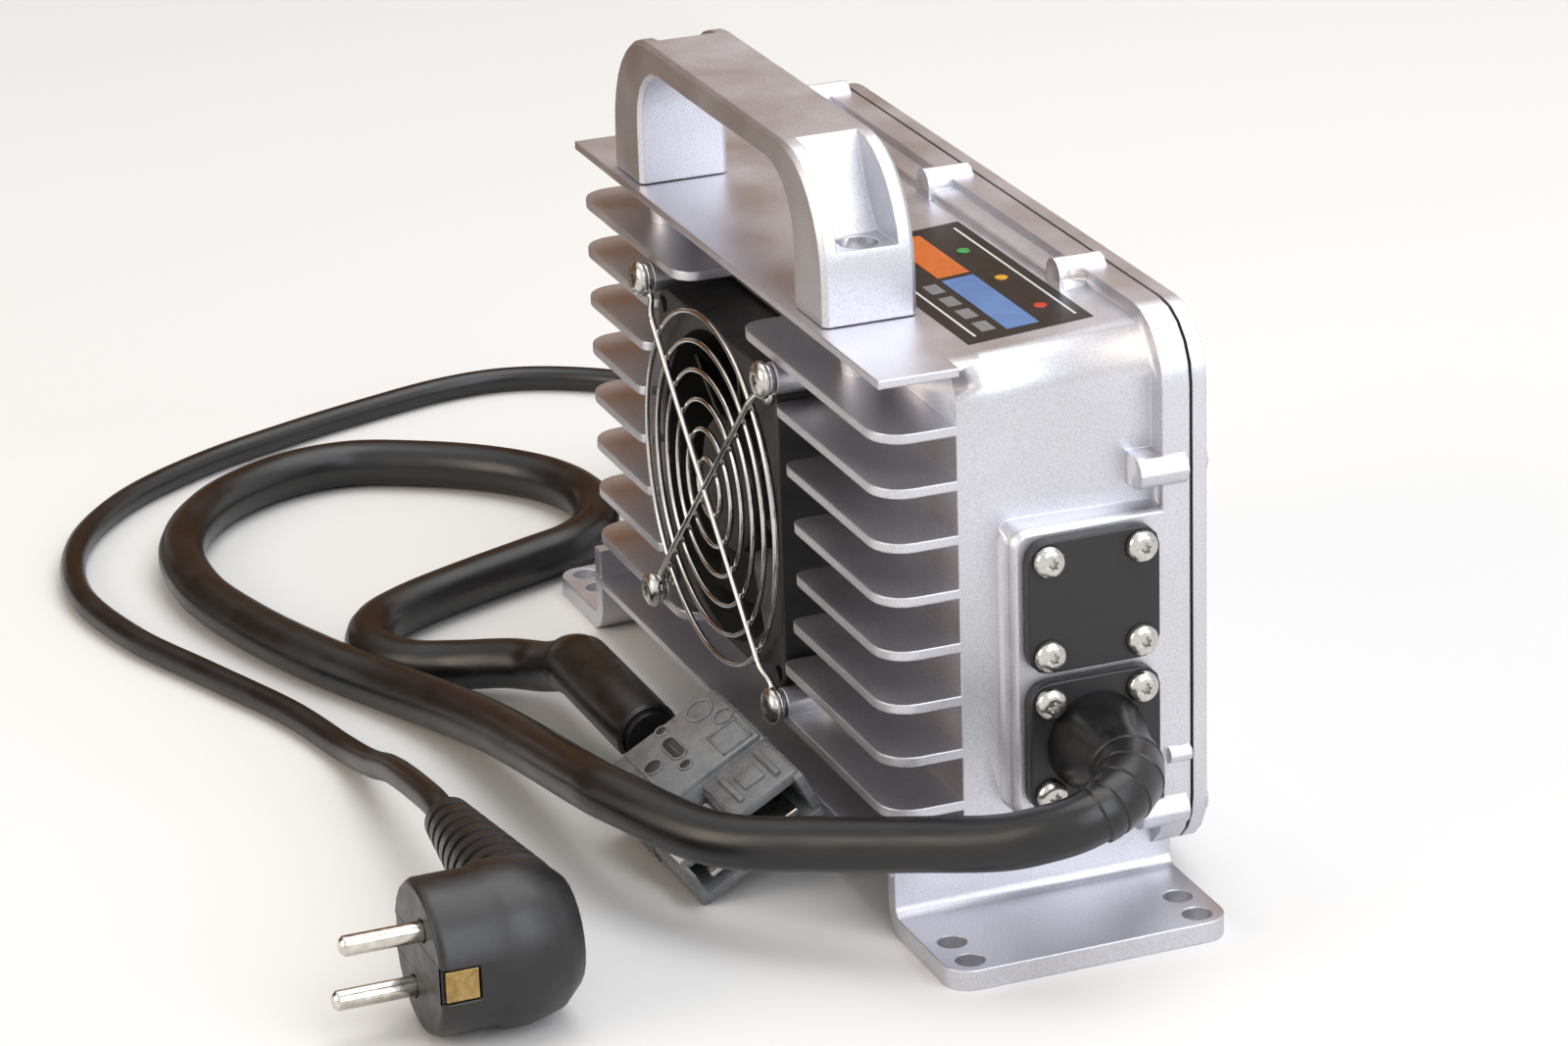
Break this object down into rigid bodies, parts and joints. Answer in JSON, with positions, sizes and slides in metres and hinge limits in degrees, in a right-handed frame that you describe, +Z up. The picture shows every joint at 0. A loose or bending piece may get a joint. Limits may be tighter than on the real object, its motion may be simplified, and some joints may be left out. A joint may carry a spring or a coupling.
{
  "type": "battery charger",
  "caption": "Finned die-cast battery charger with a fan behind a wire guard, a carrying handle, end feet, a mains lead with plug and an output lead with a two-pole connector.",
  "frame": {"origin": "middle of the charger's footprint, on the surface that its feet stand on, leaving out the leads", "axes": "+X runs along the charger towards its output end, +Y from the finned front to the rear cover, +Z up"},
  "size_m": [0.441, 0.268, 0.1732],
  "materials": {
    "cast_aluminium": "satin die-cast aluminium, lightly blasted",
    "plated_steel": "bright nickel-plated steel",
    "black_plastic": "moulded black plastic with a fine texture",
    "black_rubber": "satin black rubber",
    "connector_plastic": "moulded grey plastic",
    "board_laminate": "green glass-fibre laminate",
    "ferrite": "sintered ferrite with a taped winding",
    "capacitor_sleeve": "blue shrink sleeve",
    "copper_winding": "enamelled copper winding"
  },
  "bodies": {
    "charger": {"cable_sleeve": "black_rubber", "capacitor_1": "capacitor_sleeve", "capacitor_2": "capacitor_sleeve", "circuit_board": "board_laminate", "coil_tie": "black_plastic", "connector_contact_1": "plated_steel", "connector_contact_2": "plated_steel", "connector_housing": "connector_plastic", "cover_gasket": "black_rubber", "cover_screw_bottom_1": "plated_steel", "cover_screw_bottom_2": "plated_steel", "cover_screw_bottom_3": "plated_steel", "cover_screw_input_1": "plated_steel", "cover_screw_input_2": "plated_steel", "cover_screw_output_1": "plated_steel", "cover_screw_output_2": "plated_steel", "cover_screw_top_1": "plated_steel", "cover_screw_top_2": "plated_steel", "cover_screw_top_3": "plated_steel", "earth_contact_1": "plated_steel", "earth_contact_2": "plated_steel", "fan_frame": "black_plastic", "fan_guard": "plated_steel", "fan_screw_1": "plated_steel", "fan_screw_2": "plated_steel", "guard_screw_1": "plated_steel", "guard_screw_2": "plated_steel", "guard_screw_3": "plated_steel", "guard_screw_4": "plated_steel", "handle": "cast_aluminium", "handle_screw_1": "plated_steel", "handle_screw_2": "plated_steel", "housing": "cast_aluminium", "inductor": "copper_winding", "input_plate": "black_plastic", "input_plate_screw_1": "plated_steel", "input_plate_screw_2": "plated_steel", "input_plate_screw_3": "plated_steel", "input_plate_screw_4": "plated_steel", "mains_cable_inner": "black_rubber", "mains_cable_outer": "black_rubber", "mains_coil": "black_rubber", "output_cable": "black_rubber", "output_plate": "black_plastic", "output_plate_screw_1": "plated_steel", "output_plate_screw_2": "plated_steel", "output_plate_screw_3": "plated_steel", "output_plate_screw_4": "plated_steel", "plug_body": "black_rubber", "plug_pin_1": "plated_steel", "plug_pin_2": "plated_steel", "rear_cover": "cast_aluminium", "signal_plate": "black_plastic", "signal_plate_screw_1": "plated_steel", "signal_plate_screw_2": "plated_steel", "signal_plate_screw_3": "plated_steel", "signal_plate_screw_4": "plated_steel", "transformer": "ferrite"},
    "fan": {"fan_rotor": "black_plastic"}
  },
  "joints": [
    {"name": "fan_spin", "type": "hinge", "parent": "charger", "child": "fan", "pos_m": [-0.0068, -0.0357, 0.0733], "axis": [0, 1, 0], "continuous": true}
  ]
}
